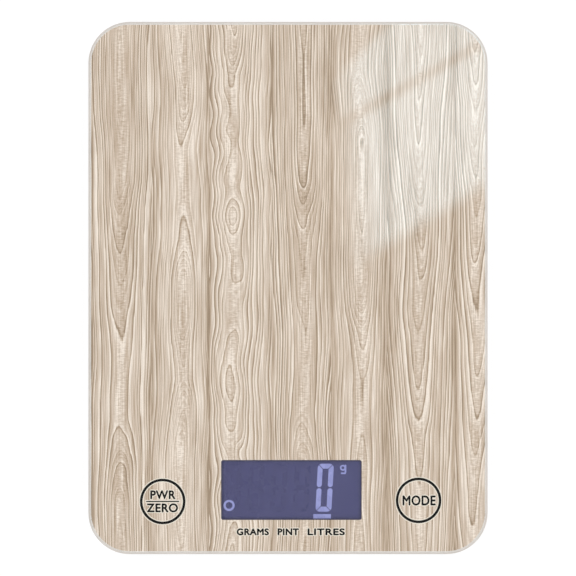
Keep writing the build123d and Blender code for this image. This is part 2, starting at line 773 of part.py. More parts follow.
# Touch springs that press on the back of the film under the printed keys
touch_coil_height = film_bottom - board_top - spring_wire - 2 * spring_play
for name, place in zip(("left_touch_spring", "right_touch_spring"), key_places):
    with BuildPart() as touch_spring:
        add_coil(
            Plane(origin=(*place, board_top + spring_play + spring_wire / 2)),
            touch_spring_radius - spring_wire / 2,
            touch_spring_radius - spring_wire / 2,
            touch_coil_height,
            touch_spring_turns,
        )
    finish_piece(touch_spring, name)
print(
    "touch spring gap",
    coil_gap(touch_spring_radius, touch_spring_radius, touch_coil_height, touch_spring_turns),
)

# Load cells, feet and pads, one set at each corner
tongue_half = cell_half - cell_border - cell_slot
slot_half = cell_half - cell_border
for corner, (side, end) in corners.items():
    place = (side * cell_x, end * cell_y)

    def cell_plane(height):
        """A plane over this cell with its X axis towards the middle of the scale."""
        return Plane(origin=(*place, height), x_dir=(-side, 0, 0), z_dir=(0, 0, 1))

    with BuildPart() as load_cell:
        with BuildSketch(cell_plane(cell_bottom)):
            RectangleRounded(cell_size, cell_size, cell_corner_radius)
            with Locations((-slot_half, 0)):
                Rectangle(2 * slot_half, 2 * slot_half, align=(Align.MIN, Align.CENTER), mode=Mode.SUBTRACT)
            with Locations((-tongue_half, 0)):
                Rectangle(tongue_half + slot_half, 2 * tongue_half, align=(Align.MIN, Align.CENTER))
            with GridLocations(0, 2 * tongue_half, 1, 2):
                with Locations((cell_waist_from_centre, 0)):
                    Circle(cell_waist_radius, mode=Mode.SUBTRACT)
            Circle(small_screw_shank_radius + screw_play, mode=Mode.SUBTRACT)
        extrude(amount=cell_thickness)
    finish_piece(load_cell, f"load_cell_{corner}")

    with BuildPart() as strain_gauge:
        with BuildSketch(cell_plane(cell_top)):
            with Locations((gauge_from_centre, 0)):
                Rectangle(gauge_length, gauge_width, align=(Align.MIN, Align.CENTER))
        extrude(amount=gauge_top - cell_top)
        fillet(strain_gauge.faces().sort_by(Axis.Z)[-1].edges(), radius=gauge_edge_radius)
    finish_piece(strain_gauge, f"strain_gauge_{corner}")

    with BuildPart() as foot:
        with BuildSketch(Plane(origin=(*place, foot_bottom))):
            Circle(foot_radius)
        extrude(amount=foot_shoulder - foot_bottom)
        with BuildSketch(Plane(origin=(*place, foot_shoulder))):
            Circle(foot_boss_radius)
        extrude(amount=cell_bottom - foot_shoulder)
        with BuildSketch(Plane(origin=(*place, foot_bottom))):
            Circle(foot_radius - foot_rim)
        extrude(amount=pad_recess, mode=Mode.SUBTRACT)
        with BuildSketch(Plane(origin=(*place, cell_bottom))):
            Circle(small_screw_shank_radius + screw_play)
        extrude(amount=cell_thickness - foot_screw_length - screw_play, mode=Mode.SUBTRACT)
        chamfer(foot.faces().sort_by(Axis.Z)[0].edges(), length=foot_rim / 4)
    finish_piece(foot, f"foot_{corner}")

    with BuildPart() as foot_pad:
        with BuildSketch(Plane(origin=(*place, 0))):
            Circle(foot_radius - foot_rim - screw_play)
        extrude(amount=pad_thickness)
        chamfer(foot_pad.faces().sort_by(Axis.Z)[0].edges(), length=pad_edge_bevel)
        with BuildSketch(Plane(origin=(*place, 0))):
            Circle(pad_groove_radius + pad_groove_width / 2)
            Circle(pad_groove_radius - pad_groove_width / 2, mode=Mode.SUBTRACT)
        extrude(amount=pad_groove_depth, mode=Mode.SUBTRACT)
    finish_piece(foot_pad, f"foot_pad_{corner}")

    with BuildPart() as foot_screw:
        add_screw(
            place,
            cell_top,
            -1,
            small_screw_head_radius,
            small_screw_head_height,
            small_screw_shank_radius,
            foot_screw_length,
        )
    finish_piece(foot_screw, f"foot_screw_{corner}")

# Leads of the load cells: front ones straight into their sockets, rear ones along the bay
cell_lead_start = cell_x - gauge_from_centre - gauge_length
rear_cell_lane_x = rear_lane_x + lead_lane_pitch
with BuildPart() as load_cell_leads:
    for side in (-1, 1):
        socket_middle = window_offset_x + side * socket_x
        socket_outer = socket_middle + side * socket_width / 2
        add_lead(
            [(side * cell_lead_start, -cell_y, lead_height), (socket_outer, -cell_y, lead_height)],
            lead_radius,
        )
        lead_end = socket_middle + side * socket_pitch
        add_lead(
            [
                (side * cell_lead_start, cell_y, lead_height),
                (side * rear_cell_lane_x, cell_y, lead_height),
                (side * rear_cell_lane_x, lead_merge_y, lead_height),
                (lead_end, lead_merge_y - lead_merge_run, lead_height),
                (lead_end, socket_rear, lead_height),
            ],
            lead_radius,
        )
finish_piece(load_cell_leads, "load_cell_leads")

# Leads of the batteries, from the contact tails to the left socket
left_socket_middle = window_offset_x - socket_x
with BuildPart() as battery_leads:
    for lane, y, lead_end in (
        (front_lane_x, front_battery_y, left_socket_middle + socket_pitch),
        (rear_lane_x, rear_battery_y, left_socket_middle),
    ):
        add_lead(
            [
                (-lane, y - contact_tail_width / 2, battery_axis),
                (-lane, lead_merge_y, battery_axis),
                (lead_end, lead_merge_y - lead_merge_run, lead_height),
                (lead_end, socket_rear, lead_height),
            ],
            battery_lead_radius,
        )
finish_piece(battery_leads, "battery_leads")
print("overall height", glass_top)
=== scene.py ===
import json
import math
import bpy
import bmesh
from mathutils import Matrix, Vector, noise


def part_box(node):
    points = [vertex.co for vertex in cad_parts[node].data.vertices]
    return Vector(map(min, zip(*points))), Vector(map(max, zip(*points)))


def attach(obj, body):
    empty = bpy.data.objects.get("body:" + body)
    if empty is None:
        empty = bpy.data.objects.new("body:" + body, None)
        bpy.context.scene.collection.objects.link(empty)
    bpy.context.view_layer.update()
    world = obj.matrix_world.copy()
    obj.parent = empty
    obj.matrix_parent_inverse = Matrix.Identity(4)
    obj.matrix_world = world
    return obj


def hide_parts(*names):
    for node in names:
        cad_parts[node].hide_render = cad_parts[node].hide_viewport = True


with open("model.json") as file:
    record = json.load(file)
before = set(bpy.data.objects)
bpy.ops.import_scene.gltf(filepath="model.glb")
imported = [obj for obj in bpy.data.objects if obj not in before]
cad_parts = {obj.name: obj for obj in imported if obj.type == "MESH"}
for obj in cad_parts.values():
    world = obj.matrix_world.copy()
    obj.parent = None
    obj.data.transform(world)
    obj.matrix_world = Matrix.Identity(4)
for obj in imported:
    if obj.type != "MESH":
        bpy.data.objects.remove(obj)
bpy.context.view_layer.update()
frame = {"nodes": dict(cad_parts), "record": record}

scene = bpy.context.scene
nodes = frame["nodes"]
mm = 0.001
photoWidth = 576        # px, as the height
photoMiddle = 288       # px, where the middle of the glass is
pxPerMm = 2.66


def fromPhoto(px, py):
    return (px - photoMiddle) / pxPerMm, (photoMiddle - py) / pxPerMm


def toPhoto(x, y):
    return photoMiddle + x * pxPerMm, photoMiddle - y * pxPerMm


def hexColour(code):
    parts = [int(code[i:i + 2], 16) / 255 for i in (1, 3, 5)]
    linear = [c / 12.92 if c <= 0.04045 else ((c + 0.055) / 1.055) ** 2.4 for c in parts]
    return (*linear, 1.0)


def addNode(tree, kind, inputs=None, **settings):
    node = tree.nodes.new("ShaderNode" + kind)
    for name, value in settings.items():
        setattr(node, name, value)
    for key, value in (inputs or {}).items():
        if isinstance(value, bpy.types.NodeSocket):
            tree.links.new(value, node.inputs[key])
        else:
            node.inputs[key].default_value = value
    return node


def setStops(rampNode, stops):
    elements = rampNode.color_ramp.elements
    while len(elements) < len(stops):
        elements.new(0.5)
    for element, (position, colour) in zip(elements, stops):
        element.position = position
        element.color = hexColour(colour) if isinstance(colour, str) else (colour, colour, colour, 1)


def newMaterial(name):
    mat = bpy.data.materials.new(name)
    mat.use_nodes = True
    mat.node_tree.nodes.clear()
    return mat, mat.node_tree


def dress(obj, mat):
    obj.data.materials.clear()
    obj.data.materials.append(mat)


def addObject(name, bm, mat):
    mesh = bpy.data.meshes.new(name)
    bm.to_mesh(mesh)
    bm.free()
    obj = bpy.data.objects.new(name, mesh)
    scene.collection.objects.link(obj)
    dress(obj, mat)
    return obj


def addPiece(name, bm, mat):
    bmesh.ops.recalc_face_normals(bm, faces=bm.faces[:])
    obj = addObject(name, bm, mat)
    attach(obj, "scale")
    return obj


# camera: straight down, long lens, so the rim shows no side of the glass; in mm, but far in m
view = {"lens": 200.0, "sensor": 36.0, "plane": 18.0, "far": 50}
frameWidth = photoWidth / pxPerMm
camData = bpy.data.cameras.new("overhead")
camData.lens = view["lens"]
camData.sensor_width = view["sensor"]
camData.clip_end = view["far"]
cam = bpy.data.objects.new("overhead", camData)
cam.location = (0, 0, (view["plane"] + frameWidth * view["lens"] / view["sensor"]) * mm)
scene.collection.objects.link(cam)
scene.camera = cam
print("camera set at height", round(cam.location.z, 3))

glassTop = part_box("glass_platform")[1].z
filmLow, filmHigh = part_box("print_film")

glass = {
    # clear tempered glass, float polished: colourless face, sharp reflections
    "face": {"name": "clearTemperedGlassPolished", "dark": "#FAFAF9", "light": "#FDFDFC", "grit": 40.0,
             "rough": (0.0, 0.002), "relief": 0.0, "clear": 1.0},
    # edge ground round by a wheel: frosted, pale grey
    "edge": {"name": "temperedGlassEdgeGround", "dark": "#C9C4BF", "light": "#D5D0CB", "grit": 0.25,
             "rough": (0.4, 0.55), "relief": 0.006, "clear": 0.3},
    "ior": 1.5,
    "passed": "#FCFDFC",    # tint of light that goes straight through
    "flat": 0.98,           # a face whose normal rises less than this belongs to the ground edge
}


def glassSurface(look):
    mat, tree = newMaterial(look["name"])
    place = addNode(tree, "TexCoord").outputs["Object"]
    scale = 1 / (look["grit"] * mm)
    grit = addNode(tree, "TexNoise", {"Vector": place, "Scale": scale, "Detail": 2.0}).outputs["Fac"]
    tone = addNode(tree, "ValToRGB", {"Fac": grit})
    setStops(tone, [(0.35, look["dark"]), (0.65, look["light"])])
    smoothest, roughest = look["rough"]
    rough = addNode(tree, "MapRange", {"Value": grit, "To Min": smoothest, "To Max": roughest})
    body = addNode(tree, "BsdfPrincipled", {
        "Base Color": tone.outputs[0], "Roughness": rough.outputs[0], "IOR": glass["ior"],
        "Transmission Weight": look["clear"]})
    if look["relief"]:
        relief = addNode(tree, "Bump", {"Height": grit, "Distance": look["relief"] * mm})
        tree.links.new(relief.outputs[0], body.inputs["Normal"])
    # lamp light and bounced light go straight through to the print
    straight = addNode(tree, "BsdfTransparent", {"Color": hexColour(glass["passed"])})
    path = addNode(tree, "LightPath").outputs
    lit = addNode(tree, "Math", {0: path["Is Shadow Ray"], 1: path["Is Diffuse Ray"]}, operation="MAXIMUM")
    mix = addNode(tree, "MixShader", {0: lit.outputs[0], 1: body.outputs[0], 2: straight.outputs[0]})
    addNode(tree, "OutputMaterial", {"Surface": mix.outputs[0]})
    return mat


def dressGlass():
    mesh = nodes["glass_platform"].data
    dress(nodes["glass_platform"], glassSurface(glass["face"]))
    mesh.materials.append(glassSurface(glass["edge"]))
    for face in mesh.polygons:
        face.material_index = int(abs(face.normal.z) < glass["flat"])


# wood print: places in photo pixels, sizes in mm, heights in rings
wood = {
    # dark seams between planks: where each runs, how dark it is and how far it fades
    "seams": [(151.5, 0.24, 1.5), (209, 0.42, 1.0), (271.5, 0.16, 1.5), (331, 0.24, 1.5), (387, 0.26, 2.3),
              (455, 0.36, 1.1)],
    "edgeLine": (92.1, 0.6, 0.4),       # the same along the left edge
    # darker ring tips: place, how dark, how long; all of one width
    "tips": [(122, 194, 0.19, 8), (304, 202, 0.2, 10), (419, 226, 0.16, 8)],
    "tipWidth": 2.5,
    # film: how far it reaches out under the rounded edge, its corners, room left under the glass for the ink
    "overhang": 0.08,
    "corner": 14.5,
    "top": 0.10,
    "window": {"x": (221.3, 361.5), "y": (460.5, 519.85), "cut": 0.25},
    "cell": (0.45, 1.0),        # between points that carry the grain
    "layers": ("ringDepth", "toneShift", "heartNear", "ringClose", "ringStrength"),
    # bends of a heart line: length, reach; the second times wild
    "bends": [(34, 2.0), (12, 0.45)],
    # waves of the ring lines: across, along, height, seed; the second times wild, the third on a wild plank
    "waves": [(7, 45, 0.9, 0), (3, 16, 0.28, 5), (6, 13, 1.8, 9)],
    "straight": 0.3,            # what is left of the smaller waves away from the heart
    "heartWidth": 6,
    "heartMean": 0.4,           # the heart's share of a plank, so that its tone leaves the plank's alone
    "heartFade": (0.7, 1),      # width in which lines are calm at a heart: share of its roundness, mm more
    "openWidth": (7, 9),        # from an open heart to rings of the usual spacing, and to the closest ones
    "uneven": (0.6, 0.85),      # how quickly the spacing changes from ring to ring, and how far
    "halfLength": 266,
    "plankApart": 40,           # keeps the ring numbers of two planks apart
    "seed": (5, 17.3),          # of the first plank's noise, and the step to the next plank's
    "ease": 0.4,                # how much of the rise runs in a soft curve from place to place
    "slopeStep": 0.3,
    "lineRing": 1.7,            # between ring lines at which they are as thick as drawn
    "closeLeast": 0.45,
    # planks from left to right: heart line, its roundness, its extra tone, ring spacing, how open the rings
    # are at the heart, how far the rise reaches, wildness, rings gained from the middle to an end, tone,
    # strength of the lines, and the rise at places along the heart
    "planks": [
        {"heart": 121, "broad": 1.8, "core": 0.01, "ring": 1.6, "open": 0.55, "reach": 6.5, "wild": 0.5,
         "lean": 1.5, "tone": -0.045, "strong": 0.92,
         "rise": [(22, -2.2), (110, -2.4), (150, -2.3), (180, -2.0), (197, -1.3), (214, -0.4), (239, 0.5),
                  (262, 0.8), (300, 1.0), (335, 1.3), (380, 1.6), (420, 1.4), (445, 0.3), (475, -1.4),
                  (505, -3.0), (554, -4.0)]},
        {"heart": 182, "broad": 2.2, "core": 0.1, "ring": 1.2, "open": 1, "reach": 5.0, "wild": 0.6,
         "lean": -1.5, "tone": 0.04, "strong": 0.8,
         "rise": [(22, -4), (60, -3.4), (100, -2), (150, 1.0), (200, 1.6), (240, 0.8), (280, -1.6),
                  (320, -1.8), (350, -0.4), (380, 0.4), (410, -1.6), (450, -3.2), (500, -2.6), (554, -1)]},
        {"heart": 231, "broad": 2.0, "core": 0.02, "ring": 1.45, "open": 1, "reach": 5.5, "wild": 1.8,
         "lean": 0.0, "tone": 0.06, "strong": 0.95,
         "rise": [(22, -3), (45, -2), (75, 0.5), (140, 1.5), (190, 0), (215, -1.8), (240, -0.3), (258, 0.8),
                  (300, 1.5), (345, 1), (385, -0.4), (420, 0.5), (450, 2), (500, 1.5), (554, -1)]},
        {"heart": 304, "broad": 1.8, "core": -0.05, "ring": 1.5, "open": 0.55, "reach": 6.5, "wild": 0.5,
         "lean": 1.5, "tone": -0.038, "strong": 1.38,
         "rise": [(22, -2.2), (110, -2.4), (150, -2.3), (180, -2.0), (200, -1.2), (216, -0.3), (240, 0.6),
                  (262, 0.9), (300, 1.1), (335, 1.5), (375, 1.6), (410, 1.3), (432, 0.4), (455, -0.8),
                  (500, -2), (554, -3)]},
        {"heart": 360, "broad": 2.4, "core": 0.06, "ring": 1.15, "open": 1, "reach": 5.0, "wild": 0.5,
         "lean": 1.0, "tone": -0.01, "strong": 0.66,
         "rise": [(22, 1), (70, 1), (105, -1), (140, -3.4), (200, -3.8), (260, -2.8), (300, -1.6), (335, 0.6),
                  (380, 1.8), (420, 1.8), (480, 1), (554, 0)]},
        {"heart": 419, "broad": 1.8, "core": 0.03, "ring": 1.6, "open": 0.65, "reach": 7.0, "wild": 0.4,
         "lean": 3.5, "tone": -0.025, "strong": 0.92,
         "rise": [(22, -2.9), (82, -2.5), (140, -2.1), (177, -1.0), (215, 0.0), (260, -0.1), (310, -0.3),
                  (345, 0.2), (380, 0.5), (410, 0.8), (434, 1.3), (520, 0.8), (554, 0.7)]},
        {"heart": 476, "broad": 2.2, "core": 0.06, "ring": 1.3, "open": 1, "reach": 5.5, "wild": 0.6,
         "lean": 2.5, "tone": 0.01, "strong": 0.88,
         "rise": [(22, -5), (80, -4), (110, -2.8), (160, -1.6), (230, -1), (290, 0.4), (350, 1.0), (420, 1.5),
                  (470, 2.0), (554, 2.4)]},
    ],
    # noises over the rings: size across and along, weight in the tone
    # thin fibres, broader streaks, pale clouds, and short flecks across the heart
    "textures": {
        "fibre": {"size": (0.45, 16), "detail": 2.0, "weight": 1.15},
        "streak": {"size": (1.4, 30), "detail": 3.0, "weight": 0.75},
        "cloud": {"size": (5, 45), "detail": 2.0, "weight": 0.5},
        "fleck": {"size": (1.9, 0.5), "detail": 2.0, "weight": 1.2},
    },
    "jitter": {"fibre": 0.16, "streak": 0.36},          # how far they shake the ring lines
    "steady": 1.2,              # how soon the jitter fades where rings stand far apart
    # one ring from edge to edge: a dark line in the middle with a pale one beside it
    "line": [(0, 0.64), (0.12, 0.6), (0.32, 0.46), (0.46, 0.08), (0.54, 0.06), (0.62, 0.74), (0.70, 1.0),
             (0.82, 0.86), (1, 0.66)],
    "lineStrength": (0.38, 1.75),
    "heartCalm": 0.35,          # how much fainter the lines are at the heart
    "ground": 0.6,              # level between the lines
    "hairlines": (3, 0.09),     # how many between one ring and the next, and how strong
    "tones": [(0, "#A08B76"), (0.22, "#BAA591"), (0.42, "#CAB5A3"), (0.58, "#D5C2B2"), (0.76, "#E2D2C5"),
              (1, "#F8EADF")],
    "back": "#E9E7E2",
    "topFacing": 0.5,           # a face whose normal rises more than this is the printed side
    "rough": 0.55,
}


def riseAt(points, at):
    if at <= points[0][0]:
        return points[0][1]
    for (a, low), (b, high) in zip(points, points[1:]):
        if at <= b:
            t = (at - a) / (b - a)
            eased = (1 - wood["ease"]) * t + wood["ease"] * t * t * (3 - 2 * t)
            return low + (high - low) * eased
    return points[-1][1]


# a bell that is 1 on the line and fades over a width
def near(away, width):
    return math.exp(-(away / width) ** 2)


# how many rings lie between the heart and a place on one plank, in mm, and how far the heart is
def ringsAt(x, y, index):
    plank = wood["planks"][index]
    wild = plank["wild"]
    firstSeed, seedStep = wood["seed"]
    seed = seedStep * index + firstSeed
    py = toPhoto(x, y)[1]
    away = x - fromPhoto(plank["heart"], 0)[0]
    for i, ((length, reach), share) in enumerate(zip(wood["bends"], (1, wild)), 1):
        away -= noise.noise((seed, y / length, i)) * reach * share
    depth = math.hypot(away, plank["broad"]) / plank["ring"]
    closed, end = wood["openWidth"]
    depth *= plank["open"] + (1 - plank["open"]) * min(abs(away), end) / closed
    depth += riseAt(plank["rise"], py) * near(away, plank["reach"])
    depth += plank["lean"] * (py - photoMiddle) / wood["halfLength"]
    loose = wood["straight"] + (1 - wood["straight"]) * near(away, wood["heartWidth"])
    shares = (1, wild * loose, max(0, wild - 1) * loose)
    for (across, along, height, shift), share in zip(wood["waves"], shares):
        depth += noise.noise((x / across, y / along, seed + shift)) * height * share
    quick, far = wood["uneven"]
    depth += far * noise.noise((depth * quick, seed, 7))
    return depth + wood["plankApart"] * index, away


# the five grain values at a place, in the order of the layers
def grainAt(x, y, index):
    plank = wood["planks"][index]
    px, py = toPhoto(x, y)
    depth, away = ringsAt(x, y, index)
    tone = plank["tone"] + plank["core"] * (near(away, wood["heartWidth"]) - wood["heartMean"])
    for atX, atY, dark, length in wood["tips"]:
        tone -= dark * near((px - atX) / pxPerMm, wood["tipWidth"]) * near((py - atY) / pxPerMm, length)
    for at, dark, soft in wood["seams"] + [wood["edgeLine"]]:
        tone -= dark * near((px - at) / pxPerMm, soft)
    step = wood["slopeStep"]
    aside = ringsAt(x + step, y, index)[0] - depth
    ahead = ringsAt(x, y + step, index)[0] - depth
    close = min(1.0, max(wood["closeLeast"], math.hypot(aside, ahead) / step * wood["lineRing"]))
    share, more = wood["heartFade"]
    return depth, tone, near(away, share * plank["broad"] + more), close, plank["strong"]


def woodFilm():
    tiny = 1e-6
    width, length = (side + 2 * wood["overhang"] * mm for side in (filmHigh - filmLow).xy)
    corner = wood["corner"] * mm
    window = wood["window"]
    across = round(width / mm / wood["cell"][0])
    along = round(length / mm / wood["cell"][1])
    bm = bmesh.new()
    bmesh.ops.create_grid(bm, x_segments=across, y_segments=along, size=0.5)
    bmesh.ops.scale(bm, vec=(width, length, 1), verts=bm.verts[:])
    holeX = sorted(fromPhoto(px, 0)[0] * mm for px in window["x"])
    holeY = sorted(fromPhoto(0, py)[1] * mm for py in window["y"])
    seamX = [fromPhoto(seam[0], 0)[0] * mm for seam in wood["seams"]]
    stepX, stepY = width / across, length / along
    # nearest grid lines onto the seams and the window's edges
    for v in bm.verts:
        v.co.x = next((e for e in seamX + holeX if abs(v.co.x - e) < stepX / 2), v.co.x)
        v.co.y = next((e for e in holeY if abs(v.co.y - e) < stepY / 2), v.co.y)
    middles = [(f, f.calc_center_median()) for f in bm.faces]
    hole = [f for f, c in middles if holeX[0] < c.x < holeX[1] and holeY[0] < c.y < holeY[1]]
    bmesh.ops.delete(bm, geom=hole, context="FACES")
    # window corners cut, outer corners drawn in to their round
    for v in bm.verts:
        if min(abs(v.co.x - e) for e in holeX) < tiny and min(abs(v.co.y - e) for e in holeY) < tiny:
            v.co.x += math.copysign(window["cut"] * mm, sum(holeX) / 2 - v.co.x)
            v.co.y += math.copysign(window["cut"] * mm, sum(holeY) / 2 - v.co.y)
        dx = abs(v.co.x) - (width / 2 - corner)
        dy = abs(v.co.y) - (length / 2 - corner)
        if dx > 0 and dy > 0:
            pull = max(dx, dy) / math.hypot(dx, dy)
            v.co.x = math.copysign(width / 2 - corner + dx * pull, v.co.x)
            v.co.y = math.copysign(length / 2 - corner + dy * pull, v.co.y)
    # sides and back
    rim = [e for e in bm.edges if e.is_boundary]
    skirt = bmesh.ops.extrude_edge_only(bm, edges=rim)["geom"]
    for v in bm.verts:
        v.co.z = filmHigh.z - wood["top"] * mm
    for v in skirt:
        if isinstance(v, bmesh.types.BMVert):
            v.co.z = filmLow.z
    backEdges = [e for e in skirt if isinstance(e, bmesh.types.BMEdge)]
    bmesh.ops.triangle_fill(bm, edges=backEdges, use_beauty=True)
    # grain values on every corner, worked out once for each point and plank
    layers = [bm.loops.layers.float.new(name) for name in wood["layers"]]
    known = {}
    bm.verts.index_update()
    for face in bm.faces:
        index = sum(face.calc_center_median().x > s for s in seamX)
        for loop in face.loops:
            key = (loop.vert.index, index)
            if key not in known:
                known[key] = grainAt(loop.vert.co.x / mm, loop.vert.co.y / mm, index)
            for layer, value in zip(layers, known[key]):
                loop[layer] = value
    film = addPiece("printFilm", bm, woodPrint())
    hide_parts("print_film")


# wood pattern printed in warm greys on film: pale earlywood, fine brown ring lines, streaky fibres
def woodPrint():
    mat, tree = newMaterial("woodPatternPrintedFilm")
    ringDepth, toneShift, heartNear, ringClose, ringStrength = (
        addNode(tree, "Attribute", attribute_name=name).outputs["Fac"] for name in wood["layers"])
    place = addNode(tree, "TexCoord").outputs["Object"]
    swings = {}
    for name, look in wood["textures"].items():
        across, along = (1 / mm / size for size in look["size"])
        stretched = addNode(tree, "Mapping", {"Vector": place, "Scale": (across, along, 1)}).outputs[0]
        texture = addNode(tree, "TexNoise", {"Vector": stretched, "Scale": 1.0, "Detail": look["detail"]})
        swing = addNode(tree, "Math", {0: texture.outputs["Fac"], 1: 0.5}, operation="SUBTRACT")
        swings[name] = swing.outputs[0]
    # ring position with a little jitter, less where rings stand far apart
    jitter = 0.0
    for name, share in wood["jitter"].items():
        shaken = addNode(tree, "Math", {0: swings[name], 1: share, 2: jitter}, operation="MULTIPLY_ADD")
        jitter = shaken.outputs[0]
    steady = addNode(tree, "Math", {0: ringClose, 1: wood["steady"]}, operation="POWER")
    placed = addNode(tree, "Math", {0: jitter, 1: steady.outputs[0], 2: ringDepth}, operation="MULTIPLY_ADD")
    phase = placed.outputs[0]
    part = addNode(tree, "Math", {0: phase}, operation="FRACT")
    count = addNode(tree, "Math", {0: phase}, operation="FLOOR")
    # a ring line keeps its thickness where the rings stand far apart
    aside = addNode(tree, "Math", {0: part.outputs[0], 1: 0.5}, operation="SUBTRACT")
    widened = addNode(tree, "Math", {0: aside.outputs[0], 1: ringClose}, operation="DIVIDE")
    across = addNode(tree, "Math", {0: widened.outputs[0], 1: 0.5}, operation="ADD")
    line = addNode(tree, "ValToRGB", {"Fac": across.outputs[0]})
    setStops(line, wood["line"])
    # each line has its own strength, and all are fainter at the heart
    chance = addNode(tree, "TexWhiteNoise", {"W": count.outputs[0]}, noise_dimensions="1D").outputs["Value"]
    faintest, boldest = wood["lineStrength"]
    own = addNode(tree, "MapRange", {"Value": chance, "To Min": faintest, "To Max": boldest})
    calm = addNode(tree, "Math", {0: heartNear, 1: -wood["heartCalm"], 2: 1.0}, operation="MULTIPLY_ADD")
    calmed = addNode(tree, "Math", {0: own.outputs[0], 1: calm.outputs[0]}, operation="MULTIPLY")
    strength = addNode(tree, "Math", {0: calmed.outputs[0], 1: ringStrength}, operation="MULTIPLY").outputs[0]
    ground = wood["ground"]
    mark = addNode(tree, "Math", {0: line.outputs[0], 1: ground}, operation="SUBTRACT")
    rings = addNode(tree, "Math", {0: mark.outputs[0], 1: strength, 2: ground}, operation="MULTIPLY_ADD")
    shifted = addNode(tree, "Math", {0: rings.outputs[0], 1: toneShift}, operation="ADD").outputs[0]
    # faint hairlines between one ring and the next
    often, faint = wood["hairlines"]
    turns = addNode(tree, "Math", {0: phase, 1: often * math.tau}, operation="MULTIPLY")
    hairline = addNode(tree, "Math", {0: turns.outputs[0]}, operation="SINE")
    lined = addNode(tree, "Math", {0: hairline.outputs[0], 1: faint, 2: shifted}, operation="MULTIPLY_ADD")
    level = lined.outputs[0]
    inHeart = addNode(tree, "Math", {0: swings["fleck"], 1: heartNear}, operation="MULTIPLY")
    swings["fleck"] = inHeart.outputs[0]
    for name, look in wood["textures"].items():
        weighed = {0: swings[name], 1: look["weight"], 2: level}
        level = addNode(tree, "Math", weighed, operation="MULTIPLY_ADD").outputs[0]
    tone = addNode(tree, "ValToRGB", {"Fac": level})
    setStops(tone, wood["tones"])
    # the back of the film is plain white ink
    facing = addNode(tree, "SeparateXYZ", {0: addNode(tree, "NewGeometry").outputs["True Normal"]})
    printed = addNode(tree, "Math", {0: facing.outputs["Z"], 1: wood["topFacing"]}, operation="GREATER_THAN")
    mixed = {"Factor": printed.outputs[0], 6: hexColour(wood["back"]), 7: tone.outputs[0]}
    colour = addNode(tree, "Mix", mixed, data_type="RGBA")
    surface = addNode(tree, "BsdfPrincipled", {
        "Base Color": colour.outputs[2], "Roughness": wood["rough"], "Specular IOR Level": 0.0})
    addNode(tree, "OutputMaterial", {"Surface": surface.outputs[0]})
    return mat


# one recipe for plain made surfaces: two close tones, roughness and a fine relief from the same grain, in mm
def madeSurface(look):
    mat, tree = newMaterial(look["name"])
    place = addNode(tree, "TexCoord").outputs["Object"]
    stretch = look.get("stretch", (1, 1, 1))
    stretched = addNode(tree, "Mapping", {"Vector": place, "Scale": stretch}).outputs[0]
    scale = 1 / (look["grain"] * mm)
    grain = addNode(tree, "TexNoise", {"Vector": stretched, "Scale": scale, "Detail": 3.0}).outputs["Fac"]
    tone = addNode(tree, "ValToRGB", {"Fac": grain})
    setStops(tone, [(0.3, look["dark"]), (0.7, look["light"])])
    smoothest, roughest = look["rough"]
    rough = addNode(tree, "MapRange", {"Value": grain, "To Min": smoothest, "To Max": roughest})
    surface = addNode(tree, "BsdfPrincipled", {
        "Base Color": tone.outputs[0], "Roughness": rough.outputs[0], "Metallic": look.get("metal", 0.0),
        "Specular IOR Level": look.get("sheen", 0.5), "Emission Color": tone.outputs[0],
        "Emission Strength": look.get("glow", 0.0)})
    if "relief" in look:
        relief = addNode(tree, "Bump", {"Height": grain, "Distance": look["relief"] * mm})
        tree.links.new(relief.outputs[0], surface.inputs["Normal"])
    addNode(tree, "OutputMaterial", {"Surface": surface.outputs[0]})
    return mat


dressGlass()
woodFilm()
print("wood film and glass done")

# printed ink between film and glass: heights in mm, places in photo pixels
hair = 0.0004           # mm between the tops of shapes that overlap, so none share a plane
ink = {
    "halo": (15.415, 15.425), "black": (15.445, 15.455),
    "outline": 0.34,    # mm of pale ink round the black
    "weight": 0.15,     # mm by which the letters are drawn bolder
    "copies": 8,
    "spacing": 1.08,
    "rings": [(162.55, 501.7), (418.7, 500.6)], "ringOuter": 22.8, "ringStroke": 2.6,
    "words": [
        ("PWR", (150.5, 175.0), (491.0, 499.0)),
        ("ZERO", (147.0, 177.5), (504.0, 512.2)),
        ("MODE", (403.0, 435.5), (496.0, 505.4)),
        ("GRAMS", (237.0, 268.5), (529.0, 535.2)),
        ("PINT", (278.0, 298.5), (529.0, 535.2)),
        ("LITRES", (308.0, 344.5), (529.0, 535.2)),
    ],
    "rule": ((146.0, 179.0), (501.1, 502.3)),
    # black screen ink: wetted to the glass, so no sheen of its own, very slightly uneven
    "blackLook": {"name": "blackInkScreenPrinted", "dark": "#060505", "light": "#0A0908",
                  "grain": 0.3, "relief": 0.001, "rough": (0.5, 0.6), "sheen": 0.0},
    # pale screen ink that edges the black
    "haloLook": {"name": "paleInkScreenPrinted", "dark": "#EBE1D4", "light": "#F3EADF",
                 "grain": 0.3, "relief": 0.001, "rough": (0.5, 0.6), "sheen": 0.0},
}


def raiseFaces(bm, faces, low, high):
    for v in {v for f in faces for v in f.verts}:
        v.co.z = low * mm
    up = bmesh.ops.extrude_face_region(bm, geom=faces)["geom"]
    tops = [v for v in up if isinstance(v, bmesh.types.BMVert)]
    bmesh.ops.translate(bm, vec=(0, 0, (high - low) * mm), verts=tops)


def flatShape(bm, points, low, high):
    verts = [bm.verts.new((x * mm, y * mm, low * mm)) for x, y in points]
    raiseFaces(bm, [bm.faces.new(verts)], low, high)


